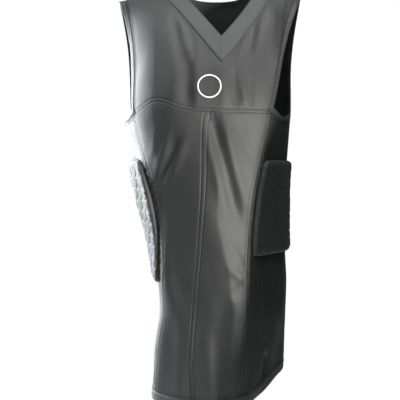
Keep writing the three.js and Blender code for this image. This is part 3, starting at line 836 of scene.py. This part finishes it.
RING_X = -0.004
RING_Z = -0.197
RING_RADIUS = 0.020
RING_WIDE = 0.0024
PRINT = fabric(
    "white_print", (0.78, 0.80, 0.77), (0.70, 0.72, 0.69), loops=1400, roughness=0.45, bump=0.15,
)
k, w = np.meshgrid(np.arange(120) / 120, np.linspace(0, 1, 6), indexing="ij")
radius = RING_RADIUS - RING_WIDE * w
z = RING_Z + radius * np.sin(2 * np.pi * k)
angle = angle_at(RING_X - oval_at(MIDDLE, z) + radius * np.cos(2 * np.pi * k), z)
dome = ON_TOP + 0.00025 * (1 - (2 * w - 1) ** 4)
inner, outer = on_body(angle, z, LAYER - 0.0002 + 0 * w), on_body(angle, z, dome)
faces = ring_faces(*k.shape, turned=True)
make("chest_emblem_print", both_faces(inner, outer), faces, PRINT, "chest_emblem")

# ================================================================ care label
# A slip of white satin, sewn by one upright edge into the left back seam, inside and low down.
# It turns on that edge, and is a little curled.

SATIN = fabric(
    "label_satin", (0.72, 0.72, 0.69), (0.62, 0.62, 0.60),
    loops=2200, roughness=0.35, bump=0.3, specular=0.6, sheen=0.3,
)
HALF_SLIP = 0.0002
cad_label = frame["nodes"]["care_label"]
corners = np.array([v.co[:] for v in cad_label.data.vertices])
hinge = frame["record"]["behaviour"]["joints"][0]
edge_low, upright = np.array(hinge["pos_m"]), np.array(hinge["axis"])
tall = float(((corners - edge_low) @ upright).max())
out = corners - edge_low - np.outer((corners - edge_low) @ upright, upright)
reach = out[np.argmax(np.linalg.norm(out, axis=1))]
wide = float(np.linalg.norm(reach))
reach = reach / wide
face = np.cross(reach, upright)
s, t = np.meshgrid(np.linspace(0, 1, 24), np.linspace(0, 1, 32), indexing="ij")
curl = 0.0011 * np.sin(np.pi * s) * np.cos(2 * t) + 0.0006 * s**2 * np.sin(5 * t)
flat = edge_low + reach * (s * wide * 0.99)[..., None] + upright * (t * tall)[..., None]
inner, outer = flat + face * (curl - HALF_SLIP)[..., None], flat + face * (curl + HALF_SLIP)[..., None]
faces = cut_faces(*s.shape, turned=True)
label = make("care_label_satin", both_faces(inner, outer), faces, SATIN, "care_label")

# ================================================================ the studio
# Not part of the vest: a pale floor well below it, a white surround and four lamps. Two like a
# window, behind the wearer's right shoulder, rim that flank; a narrow one in front catches the
# satin of the left front, and one hangs above.


def plain(name, colour, glow=0.0):
    made = bpy.data.materials.new(name)
    made.use_nodes = True
    nodes, link = made.node_tree.nodes, made.node_tree.links.new
    shader = nodes["Principled BSDF"]
    noise = nodes.new("ShaderNodeTexNoise")
    noise.inputs["Scale"].default_value = 6
    ramp = nodes.new("ShaderNodeMapRange")
    ramp.inputs["To Min"].default_value = 0.55
    ramp.inputs["To Max"].default_value = 0.7
    link(noise.outputs["Fac"], ramp.inputs["Value"])
    link(ramp.outputs["Result"], shader.inputs["Roughness"])
    shader.inputs["Base Color"].default_value = (*colour, 1)
    shader.inputs["Emission Color"].default_value = (1, 1, 1, 1)
    shader.inputs["Emission Strength"].default_value = glow
    return made


bpy.ops.mesh.primitive_plane_add(size=1.8, location=(0, 0, -1.25))
floor = bpy.context.object
floor.name = "floor"
floor.data.materials.append(plain("pale_floor", (0.82, 0.82, 0.81)))
bpy.ops.mesh.primitive_uv_sphere_add(segments=48, ring_count=24, radius=7, location=(0, 0, -0.4))
surround = bpy.context.object
surround.name = "white_surround"
surround.data.materials.append(plain("white_surround", (0, 0, 0), 1.0))
surround.visible_diffuse = False
surround.visible_glossy = False
surround.visible_transmission = False
surround.visible_shadow = False

world = bpy.data.worlds.new("studio")
bpy.context.scene.world = world
world.use_nodes = True
world.node_tree.nodes["Background"].inputs["Color"].default_value = (0.86, 0.93, 1.0, 1)
world.node_tree.nodes["Background"].inputs["Strength"].default_value = 0.05


def lamp(name, place, aim, size, power, colour=(1, 1, 1)):
    data = bpy.data.lights.new(name, "AREA")
    data.shape = "RECTANGLE"
    data.size, data.size_y = size
    data.energy = power
    data.color = colour
    made = bpy.data.objects.new(name, data)
    bpy.context.scene.collection.objects.link(made)
    made.location = place
    direction = np.array(aim) - np.array(place)
    turn = math.atan2(direction[0], direction[1])
    made.rotation_euler = (math.pi / 2 + math.atan2(direction[2], math.hypot(*direction[:2])), 0, -turn)
    return made


lamp("window", (-1.7, 1.3, 0.15), (0, 0, -0.35), (1.6, 2.2), 165, (0.92, 0.97, 1.0))
lamp("window_edge", (-2.2, 0.75, 0.15), (0, 0, -0.35), (0.8, 2.2), 60, (0.92, 0.97, 1.0))
lamp("front", (1.55, -1.55, -0.50), (0.02, 0, -0.40), (0.12, 1.0), 80, (1.0, 0.99, 0.96))
lamp("above", (0.0, -0.8, 1.1), (0, 0, -0.1), (1.2, 0.8), 24)

# a dark board keeps the front lamp off the left flank; its edge follows the left front seam,
# listed as the distance to the side and the height at which its shadow falls
BOARD_AWAY = 0.33
SLANT = 0.707  # it faces the lamp, half to the front and half to the side
edge = [(0.110, 0.20), (0.092, -0.08), (0.072, -0.13), (0.038, -0.20), (0.016, -0.24), (0.004, -0.32),
        (-0.002, -0.40), (-0.009, -0.48), (-0.020, -0.56), (-0.056, -0.67), (-0.075, -1.0)]
outline = edge + [(0.60, -1.0), (0.60, 0.20)]
corners = [
    (SLANT * (o + BOARD_AWAY), SLANT * (o - BOARD_AWAY), z - 0.14 * (0.5 + z)) for o, z in outline
]
board = make("dark_board", corners, [range(len(corners))], plain("dark_board", (0.01, 0.01, 0.01)))
board.visible_camera = False

camera = bpy.data.objects.new("camera", bpy.data.cameras.new("camera"))
bpy.context.scene.collection.objects.link(camera)
camera.location = (-0.0195, -0.940, -0.328)
camera.rotation_euler = (math.pi / 2, 0, 0)
camera.data.sensor_width = 36
camera.data.lens = 46.35
camera.data.shift_y = -0.0875
bpy.context.scene.camera = camera
bpy.context.scene.view_settings.view_transform = "Standard"

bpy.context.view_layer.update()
import json
